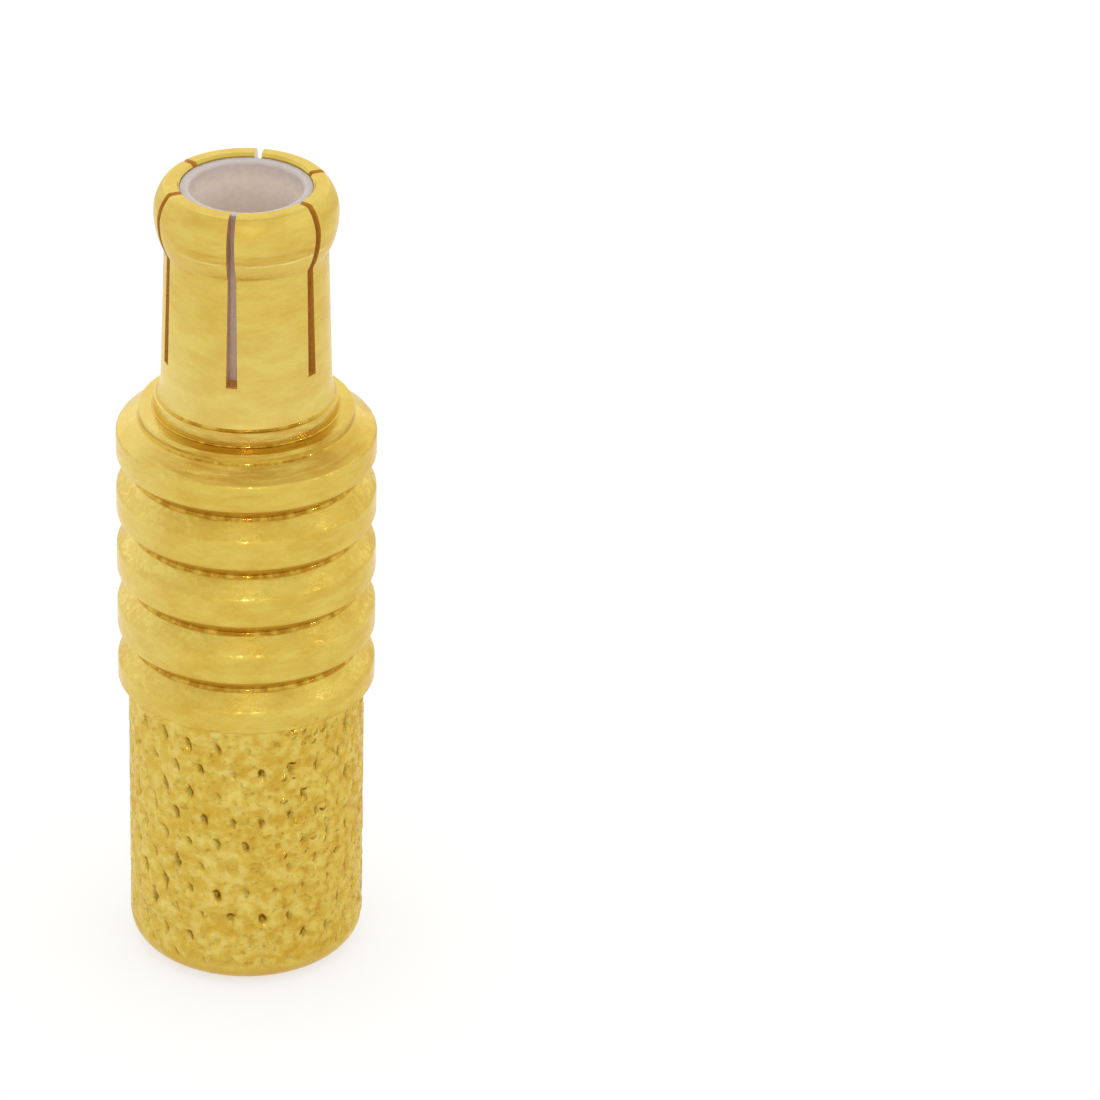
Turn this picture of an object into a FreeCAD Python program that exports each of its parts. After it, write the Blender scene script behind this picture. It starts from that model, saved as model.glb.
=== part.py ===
import FreeCAD, Part
import math
import os
from FreeCAD import Vector as V

# MCX crimp plug, straight, for a coaxial cable.
# Millimetres, +Z up towards the mating end. The origin is the centre of the rear face,
# so the plug stands on the end that the cable goes into.

# Crimp barrel: the rear tube that the braid and the ferrule go over
BARREL_RADIUS = 2.39
BARREL_BORE_RADIUS = 1.65
BARREL_LIP_ROUND = 0.57
LIP_CONES = 4
BARREL_BORE_BREAK = 0.05
BARREL_LENGTH = 6.12

# Diamond knurl on the barrel: pits between two crossing sets of ridges
KNURL_PITS_AROUND = 24
KNURL_PERIOD = 1.14
KNURL_RIDGE = 0.10
KNURL_DEPTH = 0.17
KNURL_BOTTOM_MARGIN = 0.62
KNURL_TOP_MARGIN = 0.06

# Ringed grip: five lands with four vee grooves between them
RING_RADIUS = 2.60
RING_COUNT = 5
RING_PITCH = 1.295
GROOVE_WIDTH = 0.71
GROOVE_DEPTH = 0.33
REAR_LAND = 0.45
FRONT_LAND = 0.55

# Shoulder between the front ring and the outer contact
SHOULDER_CONE_RADIUS = 2.15
SHOULDER_CONE_RISE = 0.28
SHOULDER_STEP_RISE = 0.21

# Outer contact: the slotted spring sleeve that snaps into the socket
COLLAR_RADIUS = 1.84
COLLAR_HEIGHT = 0.31
NECK_FLARE = 0.10
NECK_FLARE_HEIGHT = 0.28
NECK_BASE_RADIUS = 1.70
NECK_TOP_RADIUS = 1.62
BULGE_RISE = 0.20
BULGE_ABOVE_COLLAR = 3.99
BULGE_REAR_ROUND = 1.65
BULGE_FRONT_ROUND = 0.85
RIM_ABOVE_BULGE = 0.58
RIM_ROUND = 0.12
STEM_RADIUS = 1.50
STEM_LENGTH = 2.10
SLEEVE_BORE_RADIUS = 1.31
RIM_BORE_BREAK = 0.05

# Six slots cut from the mating end, a little closed where the fingers are set inwards
SLOT_COUNT = 6
SLOT_FIRST_ANGLE = 20.0
SLOT_WIDTH_AT_ROOT = 0.22
SLOT_WIDTH_AT_RIM = 0.14
SLOT_ROOT_ABOVE_COLLAR = 0.90

# White insulator: an open cup with a thick floor that holds the centre contact
INSULATOR_RECESS = 0.08
INSULATOR_WALL = 0.19
INSULATOR_CUP_DEPTH = 4.00
INSULATOR_RIM_BREAK = 0.05

# Body seat for the stem, and the inner flange that stops the stem and the insulator
SEAT_FLANGE_RADIUS = 1.10
SEAT_FLANGE_LENGTH = 0.50

# Centre contact: mating pin, and a wider solder cup for the cable's conductor
PIN_RADIUS = 0.25
PIN_TIP_RECESS = 0.85
PIN_TIP_LENGTH = 0.18
PIN_TIP_RADIUS = 0.12
PIN_CUP_RADIUS = 0.62
PIN_CUP_BORE_RADIUS = 0.48
PIN_CUP_BORE_DEPTH = 1.30
PIN_CUP_IN_INSULATOR = 1.50
PIN_CUP_BEHIND_INSULATOR = 0.45

# Widest radius of the bulge, which stands proud of the neck that carries it
BULGE_RADIUS = NECK_TOP_RADIUS + BULGE_RISE

# Heights that follow from the sizes above
GRIP_BASE_Z = BARREL_LENGTH
FRONT_LAND_TOP_Z = GRIP_BASE_Z + REAR_LAND + (RING_COUNT - 1) * RING_PITCH
FRONT_LAND_TOP_Z = FRONT_LAND_TOP_Z + FRONT_LAND - (RING_PITCH - GROOVE_WIDTH)
SHOULDER_Z = FRONT_LAND_TOP_Z + SHOULDER_CONE_RISE + SHOULDER_STEP_RISE
COLLAR_TOP_Z = SHOULDER_Z + COLLAR_HEIGHT
BULGE_Z = COLLAR_TOP_Z + BULGE_ABOVE_COLLAR
RIM_Z = BULGE_Z + RIM_ABOVE_BULGE
STEM_BASE_Z = SHOULDER_Z - STEM_LENGTH
INSULATOR_TOP_Z = RIM_Z - INSULATOR_RECESS
CUP_FLOOR_Z = INSULATOR_TOP_Z - INSULATOR_CUP_DEPTH
PIN_STOP_Z = STEM_BASE_Z + PIN_CUP_IN_INSULATOR
PIN_TOP_Z = RIM_Z - PIN_TIP_RECESS
PIN_BASE_Z = STEM_BASE_Z - PIN_CUP_BEHIND_INSULATOR


def revolve(edges):
    """Turns a closed profile in the XZ plane into a solid about Z."""
    face = Part.Face(Part.Wire(edges))
    return face.revolve(V(0, 0, 0), V(0, 0, 1), 360)


def lines(points):
    """Straight edges through (radius, height) points, in order."""
    vectors = [V(r, 0, z) for r, z in points]
    return [Part.makeLine(a, b) for a, b in zip(vectors, vectors[1:])]


def arc(start, middle, end):
    """One circular edge through three (radius, height) points."""
    return Part.Arc(V(start[0], 0, start[1]), V(middle[0], 0, middle[1]), V(end[0], 0, end[1])).toShape()


def grip_profile():
    """Points of the ringed grip, from the rear face of the last ring to its shoulder."""
    points = [(BARREL_RADIUS, GRIP_BASE_Z), (RING_RADIUS, GRIP_BASE_Z)]
    low = GRIP_BASE_Z + REAR_LAND
    for _ in range(RING_COUNT - 1):
        points.append((RING_RADIUS, low))
        points.append((RING_RADIUS - GROOVE_DEPTH, low + GROOVE_WIDTH / 2))
        points.append((RING_RADIUS, low + GROOVE_WIDTH))
        low = low + RING_PITCH
    points.append((RING_RADIUS, FRONT_LAND_TOP_Z))
    points.append((SHOULDER_CONE_RADIUS, FRONT_LAND_TOP_Z + SHOULDER_CONE_RISE))
    points.append((SHOULDER_CONE_RADIUS, SHOULDER_Z))
    points.append((STEM_RADIUS, SHOULDER_Z))
    return points


def lip_points():
    """The rounded outer corner of the barrel's rear lip, as a few cones."""
    points = []
    for step in range(LIP_CONES + 1):
        angle = math.radians(90) * step / LIP_CONES
        r = BARREL_RADIUS - BARREL_LIP_ROUND + BARREL_LIP_ROUND * math.sin(angle)
        points.append((r, BARREL_LIP_ROUND * (1 - math.cos(angle))))
    return points


def knurl_pit(half_width, half_height, depth):
    """One four-sided pit tool at angle 0, its point towards the axis."""
    reach = 0.06
    grow = (depth + reach) / depth
    base_r = BARREL_RADIUS + reach
    w = half_width * grow
    h = half_height * grow
    corners = [V(base_r, -w, 0), V(base_r, 0, -h), V(base_r, w, 0), V(base_r, 0, h)]
    tip = V(BARREL_RADIUS - depth, 0, 0)
    faces = [Part.Face(Part.makePolygon(corners + corners[:1]))]
    for a, b in zip(corners, corners[1:] + corners[:1]):
        faces.append(Part.Face(Part.makePolygon([a, b, tip, a])))
    return Part.makeSolid(Part.makeShell(faces))


def knurl_tools():
    """All pit tools: rows half a period apart, every other row turned by half a pitch."""
    step = 360.0 / KNURL_PITS_AROUND
    a = math.pi * BARREL_RADIUS / KNURL_PITS_AROUND
    b = KNURL_PERIOD / 2
    inner = a * b / math.hypot(a, b)
    shrink = (inner - KNURL_RIDGE / 2) / inner
    pit = knurl_pit(a * shrink, b * shrink, KNURL_DEPTH)
    reach = b * shrink
    low = KNURL_BOTTOM_MARGIN + reach
    high = BARREL_LENGTH - KNURL_TOP_MARGIN - reach
    rows = int(math.floor((high - low) / b)) + 1
    start = high - (rows - 1) * b
    tools = []
    for row in range(rows):
        turn = step / 2 if row % 2 else 0.0
        for column in range(KNURL_PITS_AROUND):
            tool = pit.copy()
            tool.translate(V(0, 0, start + row * b))
            tool.rotate(V(0, 0, 0), V(0, 0, 1), turn + column * step)
            tools.append(tool)
    return Part.makeCompound(tools)


def make_body():
    """Turned body: knurled crimp barrel, ringed grip and shoulder in one piece."""
    lip = lip_points()
    flange_top = STEM_BASE_Z
    flange_base = STEM_BASE_Z - SEAT_FLANGE_LENGTH
    inside = [
        (STEM_RADIUS, flange_top),
        (SEAT_FLANGE_RADIUS, flange_top),
        (SEAT_FLANGE_RADIUS, flange_base),
        (BARREL_BORE_RADIUS, flange_base),
        (BARREL_BORE_RADIUS, BARREL_BORE_BREAK),
        (BARREL_BORE_RADIUS + BARREL_BORE_BREAK, 0.0),
        lip[0],
    ]
    body = revolve(lines(lip + grip_profile() + inside))
    return body.cut(knurl_tools())


def bulge_edges():
    """Edges of the snap bulge from the neck to the rim: rear round, front round, broken rim."""
    rear_centre = BULGE_RADIUS - BULGE_REAR_ROUND
    rear_angle = math.acos((NECK_TOP_RADIUS - rear_centre) / BULGE_REAR_ROUND)
    front_centre = BULGE_RADIUS - BULGE_FRONT_ROUND
    rim_centre_z = RIM_Z - RIM_ROUND
    lift = rim_centre_z - BULGE_Z
    reach = math.sqrt((BULGE_FRONT_ROUND - RIM_ROUND) ** 2 - lift ** 2)
    rim_centre = front_centre + reach
    front_angle = math.atan2(lift, reach)

    def rear(angle):
        dr = BULGE_REAR_ROUND * math.cos(angle)
        dz = BULGE_REAR_ROUND * math.sin(angle)
        return (rear_centre + dr, BULGE_Z - dz)

    def front(angle):
        dr = BULGE_FRONT_ROUND * math.cos(angle)
        dz = BULGE_FRONT_ROUND * math.sin(angle)
        return (front_centre + dr, BULGE_Z + dz)

    rim = (rim_centre, RIM_Z)
    edges = [
        arc(rear(rear_angle), rear(rear_angle / 2), rear(0)),
        arc(front(0), front(front_angle / 2), front(front_angle)),
    ]
    return rear(rear_angle), edges + lines([front(front_angle), rim]), rim


def slot_tool():
    """One slot tool at angle 0: a thin wedge, narrower at the rim than at its root."""
    root_z = COLLAR_TOP_Z + SLOT_ROOT_ABOVE_COLLAR
    top_z = RIM_Z + 0.5
    slope = (SLOT_WIDTH_AT_ROOT - SLOT_WIDTH_AT_RIM) / (RIM_Z - root_z)
    w0 = SLOT_WIDTH_AT_ROOT / 2
    w1 = w0 - slope * (top_z - root_z) / 2
    r0 = SLEEVE_BORE_RADIUS - 0.30
    outline = [V(r0, -w0, root_z), V(r0, w0, root_z), V(r0, w1, top_z), V(r0, -w1, top_z)]
    face = Part.Face(Part.makePolygon(outline + outline[:1]))
    return face.extrude(V(BULGE_RADIUS + 0.5 - r0, 0, 0))


def make_outer_contact():
    """Turned spring sleeve: stem, collar, tapered neck and bulge, slotted in six fingers."""
    flare_top = COLLAR_TOP_Z + NECK_FLARE_HEIGHT
    outer = [
        (SLEEVE_BORE_RADIUS, STEM_BASE_Z),
        (STEM_RADIUS, STEM_BASE_Z),
        (STEM_RADIUS, SHOULDER_Z),
        (COLLAR_RADIUS, SHOULDER_Z),
        (COLLAR_RADIUS, COLLAR_TOP_Z),
        (NECK_BASE_RADIUS + NECK_FLARE, COLLAR_TOP_Z),
        (NECK_BASE_RADIUS, flare_top),
    ]
    neck_top, bulge, rim = bulge_edges()
    outer.append(neck_top)
    inside = [
        rim,
        (SLEEVE_BORE_RADIUS + RIM_BORE_BREAK, RIM_Z),
        (SLEEVE_BORE_RADIUS, RIM_Z - RIM_BORE_BREAK),
        outer[0],
    ]
    sleeve = revolve(lines(outer) + bulge + lines(inside))
    tools = []
    for index in range(SLOT_COUNT):
        tool = slot_tool()
        tool.rotate(V(0, 0, 0), V(0, 0, 1), SLOT_FIRST_ANGLE + index * 360.0 / SLOT_COUNT)
        tools.append(tool)
    return sleeve.cut(Part.makeCompound(tools))


def make_insulator():
    """White cup inside the sleeve; its floor is bored and counterbored for the pin."""
    outer_r = SLEEVE_BORE_RADIUS
    inner_r = SLEEVE_BORE_RADIUS - INSULATOR_WALL
    profile = [
        (PIN_CUP_RADIUS, STEM_BASE_Z),
        (outer_r, STEM_BASE_Z),
        (outer_r, INSULATOR_TOP_Z - INSULATOR_RIM_BREAK),
        (outer_r - INSULATOR_RIM_BREAK, INSULATOR_TOP_Z),
        (inner_r, INSULATOR_TOP_Z),
        (inner_r, CUP_FLOOR_Z),
        (PIN_RADIUS, CUP_FLOOR_Z),
        (PIN_RADIUS, PIN_STOP_Z),
        (PIN_CUP_RADIUS, PIN_STOP_Z),
        (PIN_CUP_RADIUS, STEM_BASE_Z),
    ]
    return revolve(lines(profile))


def make_centre_contact():
    """Turned pin with a blunt tip and a drilled cup for the cable's conductor."""
    bore_top = PIN_BASE_Z + PIN_CUP_BORE_DEPTH
    profile = [
        (PIN_RADIUS, PIN_TOP_Z - PIN_TIP_LENGTH),
        (PIN_TIP_RADIUS, PIN_TOP_Z),
        (0.0, PIN_TOP_Z),
        (0.0, bore_top),
        (PIN_CUP_BORE_RADIUS, bore_top),
        (PIN_CUP_BORE_RADIUS, PIN_BASE_Z),
        (PIN_CUP_RADIUS, PIN_BASE_Z),
        (PIN_CUP_RADIUS, PIN_STOP_Z),
        (PIN_RADIUS, PIN_STOP_Z),
        (PIN_RADIUS, PIN_TOP_Z - PIN_TIP_LENGTH),
    ]
    return revolve(lines(profile))


def export(name, shape):
    """Writes one piece as a STEP file in parts/."""
    if shape.ShapeType == "Compound" and len(shape.Solids) == 1:
        shape = shape.Solids[0]
    shape.exportStep("parts/" + name + ".step")


def main():
    os.makedirs("parts", exist_ok=True)
    export("body", make_body())
    export("outer_contact", make_outer_contact())
    export("insulator", make_insulator())
    export("centre_contact", make_centre_contact())


main()
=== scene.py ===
import math

import bmesh
import bpy
import numpy as np
from bpy.props import FloatProperty, FloatVectorProperty, IntProperty, PointerProperty
from bpy.types import Operator, Panel, PropertyGroup
from mathutils import Matrix, Vector


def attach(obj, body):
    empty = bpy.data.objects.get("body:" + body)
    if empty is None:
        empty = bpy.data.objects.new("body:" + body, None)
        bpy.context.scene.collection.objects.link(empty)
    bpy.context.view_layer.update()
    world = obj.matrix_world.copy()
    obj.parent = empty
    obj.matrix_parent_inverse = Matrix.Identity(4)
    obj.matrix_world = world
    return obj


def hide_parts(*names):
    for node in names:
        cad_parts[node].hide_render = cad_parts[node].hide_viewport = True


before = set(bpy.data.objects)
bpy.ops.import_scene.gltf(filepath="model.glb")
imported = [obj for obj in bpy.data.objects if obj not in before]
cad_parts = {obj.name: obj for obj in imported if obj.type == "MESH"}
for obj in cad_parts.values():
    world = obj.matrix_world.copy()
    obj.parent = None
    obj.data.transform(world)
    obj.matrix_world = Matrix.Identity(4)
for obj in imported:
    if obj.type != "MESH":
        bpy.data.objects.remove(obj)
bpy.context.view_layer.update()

bl_info = {
    "name": "Crimp Plug",
    "version": (1, 0, 0),
    "blender": (4, 5, 0),
    "location": "View3D > Sidebar > Crimp Plug",
    "description": "Builds a gold-plated coaxial crimp plug and a plain studio",
    "category": "Add Mesh",
}

MM = 0.001
WHITE = (1.0, 1.0, 1.0, 1.0)

# Material numbers of the bands on the body; the sleeve has the first two and the sawn one
PLATED = 0
CREASED = 1
PAINTED_SHADE = 2
SHOULDER_CREASED = 3
SHOULDER_PAINTED_SHADE = 4
SAWN = 2

# How far turned corners are cut back: outer edges, the grip's lands, the bottoms of creases
EDGE_ROUND = 0.035 * MM
LAND_ROUND = 0.075 * MM
CREASE_ROUND = 0.012 * MM

# The rear lip is an arc until this share of its round is left, and the barrel's rows go on
LIP_SHARE = 0.62
KNURL_ROW = 0.05 * MM

# Wear of the knurl: the seed and size of its random tables, the small hole left in each cell, the
# dents over all, the side worn most, as an angle from +X, and the heights over which it fades out
KNURL_SEED = 7
KNURL_TABLE = 64
HOLE_WIDTH = 0.12 * MM
HOLE_HEIGHT = 0.22 * MM
HOLE_SHIFT = 0.1 * MM
HOLE_LEAN = 0.3
DENT_DEPTH = 0.035 * MM
WORN_ANGLE = math.radians(308)
WORN_SHARE = 0.5
KNURL_FADE_LOW = 0.35 * MM
KNURL_FADE_HIGH = 0.05 * MM

# Widths of the patterns in the finishes. The tool's rings, the plating's grain and the saw's marks
# are drawn several times coarser than the real ones, which are finer than a pixel.
TOOL_RINGS = 0.06 * MM
GRAIN_SIZE = 0.16 * MM
GRAIN_FLATTENED = 2.6
PATCH_SIZE = 0.9 * MM
STREAK_SIZE = 0.09 * MM
BLOTCH_SIZE = 0.22 * MM
CRUMPLE_SIZE = 0.13 * MM
NICK_SIZE = 0.2 * MM
CREASE_NOISE_SIZE = 0.1 * MM
CHATTER_SIZE = 0.11 * MM
SHADE_NOISE_SIZE = 0.16 * MM
SAW_MARKS = 0.12 * MM
PTFE_GRAIN = 0.12 * MM

# Depths of the reliefs and how far light enters the insulator
RELIEF_DEPTH = 0.0012 * MM
CHATTER_DEPTH = 0.002 * MM
SAW_DEPTH = 0.004 * MM
PTFE_DEPTH = 0.004 * MM
PTFE_LIGHT = 0.25 * MM

# The plating's coat, and how fast the path across a face grows with the radius against the
# height, so that cones and flats get rings too
PLATE_COAT = 0.25
PATH_SLOPE = 1.7

# Mesh steps around a knurl pit, a finger of the sleeve, the insulator and the pin, and the angles
# in degrees above which edges are sharp
PIT_STEPS = 16
FINGER_STEPS = 44
CUP_STEPS = 192
PIN_STEPS = 96
SHARP = 40.0
SHARP_ROUNDED = 50.0

# Size of the photo in pixels, the sensor's width in millimetres, the floor's half width in metres
IMAGE_SIZE = 1100
SENSOR_WIDTH = 36.0
FLOOR_HALF = 1.0

# Lamps: name, place and size in millimetres, and the setting with the power; all face one point
LAMPS = (
    ("Top softbox", (-40, 60, 230), (150, 150), "top_level"),
    ("Front lamp", (3.5, -130, 86), (8, 5), "key_level"),
    ("Side lamp", (132, -48, 74), (4, 4), "side_level"),
)
LAMP_AIM = (0, 0, 9)

# Light that the camera and reflections see on top of the lit floor; the sky's brightness at the
# horizon and overhead, and what is added behind the plug, as shares of the studio's
FLOOR_LIFT = 0.62
SKY_LOW = 1.13
SKY_HIGH = 0.92
SKY_BEHIND = 0.14


def linear(hex_text):
    """Turns an sRGB hex colour into linear red, green, blue and alpha."""
    channels = [int(hex_text[i:i + 2], 16) / 255 for i in (0, 2, 4)]
    return [c / 12.92 if c <= 0.04045 else ((c + 0.055) / 1.055) ** 2.4 for c in channels] + [1.0]


def length(label, text, default):
    """A size in metres; default is in millimetres."""
    return FloatProperty(
        name=label, description=text, default=default * MM, min=0.0, unit="LENGTH", precision=5
    )


def number(label, text, default, **limits):
    """A plain number."""
    return FloatProperty(name=label, description=text, default=default, **limits)


def turn(label, text, degrees):
    """An angle; the default is in degrees."""
    return FloatProperty(name=label, description=text, default=math.radians(degrees), subtype="ANGLE")


def colour(label, text, hex_text):
    """A colour; the default is an sRGB hex value."""
    return FloatVectorProperty(
        name=label, description=text, default=linear(hex_text), size=4, min=0.0, max=1.0, subtype="COLOR"
    )


class BodySizes(PropertyGroup):
    """Sizes of the turned body."""

    barrel_radius: length("Barrel radius", "Outside of the knurled crimp barrel", 2.39)
    bore_radius: length("Bore radius", "Bore that takes the cable", 1.65)
    barrel_length: length("Barrel length", "From the rear face to the last ring", 6.12)
    lip_round: length("Lip round", "Round on the rear lip", 0.57)
    ring_radius: length("Ring radius", "Outside of the ringed grip", 2.60)
    ring_count: IntProperty(name="Rings", description="Lands in the grip", default=5, min=2)
    ring_pitch: length("Ring pitch", "From one groove to the next", 1.295)
    groove_width: length("Groove width", "Width of a groove at the land", 0.71)
    groove_depth: length("Groove depth", "Depth of a groove", 0.33)
    groove_floor: length("Groove floor", "Flat at the bottom of a groove", 0.014)
    groove_lift: length("Groove lift", "The bottom lies this far above the groove's middle", 0.05)
    rear_land: length("Rear land", "Length of the last ring's land", 0.45)
    front_land: length("Front land", "Length of the first ring's land", 0.55)
    shoulder_radius: length("Shoulder radius", "Step above the first ring", 2.15)
    shoulder_cone: length("Shoulder cone", "Rise of the cone above the first ring", 0.28)
    shoulder_step: length("Shoulder step", "Height of the step", 0.21)
    seat_radius: length("Seat radius", "Bore that takes the sleeve's stem", 1.50)
    seat_depth: length("Seat depth", "Depth of that bore", 2.10)
    flange_radius: length("Flange radius", "Hole in the inner flange", 1.10)
    flange_length: length("Flange length", "Thickness of the inner flange", 0.50)
    pits_around: IntProperty(name="Pits around", description="Knurl pits in one turn", default=24, min=6)
    knurl_period: length("Knurl period", "Height of one diamond", 1.14)
    knurl_depth: length("Knurl depth", "Depth of a pit", 0.17)
    knurl_ridge: length("Knurl ridge", "Width of the ridges between pits", 0.10)
    knurl_low: length("Knurl start", "Height where the knurl fades in", 0.30)
    knurl_gap: length("Knurl gap", "Plain band under the last ring", 0.06)


class SleeveSizes(PropertyGroup):
    """Sizes of the slotted outer contact."""

    collar_radius: length("Collar radius", "Collar that seats on the body", 1.84)
    collar_height: length("Collar height", "Height of the collar", 0.31)
    flare: length("Flare", "Extra radius at the foot of the neck", 0.10)
    flare_height: length("Flare height", "Height of that flare", 0.28)
    neck_base: length("Neck base radius", "Neck above the collar", 1.70)
    neck_top: length("Neck top radius", "Neck below the bulge", 1.62)
    bulge_radius: length("Bulge radius", "Widest point of the snap bulge", 1.82)
    bulge_above: length("Bulge height", "Widest point above the collar", 3.99)
    rear_round: length("Rear round", "Round behind the bulge", 1.65)
    front_round: length("Front round", "Round in front of the bulge", 0.85)
    rim_above: length("Rim height", "Rim above the widest point", 0.58)
    rim_round: length("Rim round", "Round on the rim", 0.12)
    bore_radius: length("Sleeve bore", "Bore that holds the insulator", 1.31)
    bore_break: length("Bore break", "Broken edge at the rim's bore", 0.05)
    slot_count: IntProperty(name="Slots", description="Slots around the sleeve", default=6, min=2)
    slot_turn: turn("Slot turn", "Angle of the first slot", 20)
    slot_root_width: length("Slot width at root", "Width at the closed end", 0.22)
    slot_rim_width: length("Slot width at rim", "Width at the rim", 0.14)
    slot_root_above: length("Slot root height", "Closed end above the collar", 0.90)


class CoreSizes(PropertyGroup):
    """Sizes of the insulator and of the centre contact."""

    recess: length("Insulator recess", "Insulator below the rim", 0.08)
    wall: length("Cup wall", "Wall of the insulator's cup", 0.19)
    cup_depth: length("Cup depth", "Depth of the cup", 4.00)
    pin_radius: length("Pin radius", "Mating pin", 0.25)
    pin_recess: length("Pin recess", "Pin tip below the rim", 0.85)
    pin_tip: length("Pin tip", "Length of the pin's blunt tip", 0.18)
    cup_radius: length("Solder cup radius", "Wide end of the pin", 0.62)
    cup_bore: length("Solder cup bore", "Bore for the cable's conductor", 0.48)
    cup_bore_depth: length("Solder cup depth", "Depth of that bore", 1.30)
    cup_inside: length("Cup in insulator", "Length of cup inside the insulator", 1.50)
    cup_behind: length("Cup behind insulator", "Length of cup behind it", 0.45)


class PlugColours(PropertyGroup):
    """Colours of the finishes."""

    gold: colour("Gold", "Gold plating", "D8BF58")
    gold_warm: colour("Warm gold", "Thinner, warmer patches of the plating", "CFAC42")
    # Shaded gold: painted shade on faces that look down, at the shoulder, on the collar and behind the
    # bulge; also the orange of worn knurl blotches and of saw marks
    gold_wear_and_shade: colour("Shaded gold", "Plating that the polish doesn't reach", "C2922F")
    gold_pale: colour("Pale gold", "Thin plating and rubbed high spots", "EEDD92")
    # Pale gold: rubbed spots on the knurl, and painted light on the left sides and a painted highlight
    # line under the bulge
    gold_edge: colour("Gold edge", "Tint of the plating seen at a grazing angle", "FFF4D6")
    # Brown colour: painted shade in the creases and under the lands, and streaks at the shoulder
    residue_and_shade: colour("Residue", "Brown residue in creases and streaks", "A56E14")
    # Pits colour: painted shade in the knurl's pits, and brown specks over the knurl
    pits: colour("Pits", "Residue in the knurl's pits", "826820")
    sawn: colour("Sawn faces", "Walls of the slots", "F0B04C")
    ptfe: colour("White", "White insulator", "F0E2D6")
    ptfe_rim: colour("White rim", "Cut rim of the insulator", "C4BAB5")
    floor: colour("Floor", "Studio floor", "A8A8A8")


class StudioSettings(PropertyGroup):
    """Camera and lamps."""

    distance: length("Camera distance", "From the grip's centre", 130.0)
    elevation: turn("Elevation", "Height of the camera", 29)
    aim_height: length("Aim height", "Height of the aim point on the axis", 9.10)
    pixels_per_mm: number("Scale", "Image pixels per millimetre", 49.75, min=1)
    image_x: number("Image X", "Pixel column of the axis", 246.5)
    image_y: number("Image Y", "Pixel row of the aim point", 541.0)
    world_level: number("World level", "Brightness of the studio", 1.0, min=0)
    top_level: number("Top lamp", "Power of the top lamp in watts", 0.02, min=0)
    key_level: number("Front lamp", "Power of the front lamp in watts", 0.015, min=0)
    side_level: number("Side lamp", "Power of the side lamp in watts", 0.007, min=0)


GROUPS = (
    ("plug_body", BodySizes),
    ("plug_sleeve", SleeveSizes),
    ("plug_core", CoreSizes),
    ("plug_colours", PlugColours),
    ("plug_studio", StudioSettings),
)


def shoulder_height(s):
    """Height of the face that the sleeve's collar sits on."""
    land = s.ring_pitch - s.groove_width
    grip = s.rear_land + (s.ring_count - 1) * s.ring_pitch + s.front_land - land
    return s.barrel_length + grip + s.shoulder_cone + s.shoulder_step


def levels(scene):
    """Heights that several pieces share, in metres."""
    body, sleeve, core = scene.plug_body, scene.plug_sleeve, scene.plug_core
    face = shoulder_height(body)
    collar = face + sleeve.collar_height
    rim = collar + sleeve.bulge_above + sleeve.rim_above
    stem = face - body.seat_depth
    return {
        "face": face,
        "collar": collar,
        "bulge": collar + sleeve.bulge_above,
        "rim": rim,
        "root": collar + sleeve.slot_root_above,
        "stem": stem,
        "cup_top": rim - core.recess,
        "cup_floor": rim - core.recess - core.cup_depth,
        "pin_stop": stem + core.cup_inside,
    }


def soften(points):
    """Rounds the corners of a closed profile.

    A point is radius, height, corner cut and, if it isn't plain plating, the finish of the band
    that starts there. A small cut gets fewer steps.
    """
    result = []
    for i, (r, z, cut, *finish) in enumerate(points):
        here = Vector((r, z))
        band = finish[0] if finish else PLATED
        if cut == 0:
            result.append((r, z, band))
            continue
        before = Vector(points[i - 1][:2]) - here
        after = Vector(points[(i + 1) % len(points)][:2]) - here
        steps = 2 if cut < 0.02 * MM else 4
        start = here + before * min(0.48, cut / before.length)
        end = here + after * min(0.48, cut / after.length)
        for k in range(steps + 1):
            t = k / steps
            p = start * (1 - t) ** 2 + here * 2 * t * (1 - t) + end * t ** 2
            result.append((p.x, p.y, band if k < steps else PLATED))
    return result


def flank_point(start, end, share, finish):
    """A point on the way between two corners where another finish begins."""
    r = start[0] + (end[0] - start[0]) * share
    z = start[1] + (end[1] - start[1]) * share
    return (r, z, 0, finish)


def arc_points(centre, radius, start, end, steps):
    """Points along an arc in the profile plane; angles in radians from the radial direction."""
    r, z = centre
    angles = [start + (end - start) * k / steps for k in range(steps + 1)]
    return [(r + radius * math.cos(a), z + radius * math.sin(a)) for a in angles]


def new_object(name, verts, faces, sharp=SHARP):
    """Makes a smooth-shaded mesh object with sharp edges above an angle."""
    mesh = bpy.data.meshes.new(name)
    mesh.from_pydata([tuple(v) for v in verts], [], faces)
    work = bmesh.new()
    work.from_mesh(mesh)
    bmesh.ops.recalc_face_normals(work, faces=work.faces)
    work.to_mesh(mesh)
    work.free()
    mesh.shade_smooth()
    mesh.set_sharp_from_angle(angle=math.radians(sharp))
    piece = bpy.data.objects.new(name, mesh)
    bpy.context.scene.collection.objects.link(piece)
    return piece


def turned(name, radii, heights, columns, sharp=SHARP, finishes=None):
    """Turns a closed profile; a finish is the material number of the band after a point."""
    angles = np.linspace(0, 2 * math.pi, columns, endpoint=False)
    radii = np.asarray(radii, float)
    if radii.ndim == 1:
        radii = radii[:, None]
    x = radii * np.cos(angles)
    y = radii * np.sin(angles)
    z = np.outer(heights, np.ones(columns))
    verts = np.stack([x, y, z], axis=-1).reshape(-1, 3)
    i = np.arange(len(heights))[:, None] * columns
    i_next = np.roll(i, -1, axis=0)
    j = np.arange(columns)
    j_next = np.roll(j, -1)
    faces = np.stack([i + j, i + j_next, i_next + j_next, i_next + j], axis=-1).reshape(-1, 4)
    piece = new_object(name, verts, faces.tolist(), sharp)
    if finishes:
        piece.data.polygons.foreach_set("material_index", np.repeat(finishes, columns).astype(np.int32))
    return piece


def smooth(share):
    """Eases a share between 0 and 1 at both ends."""
    return share * share * (3 - 2 * share)


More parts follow.
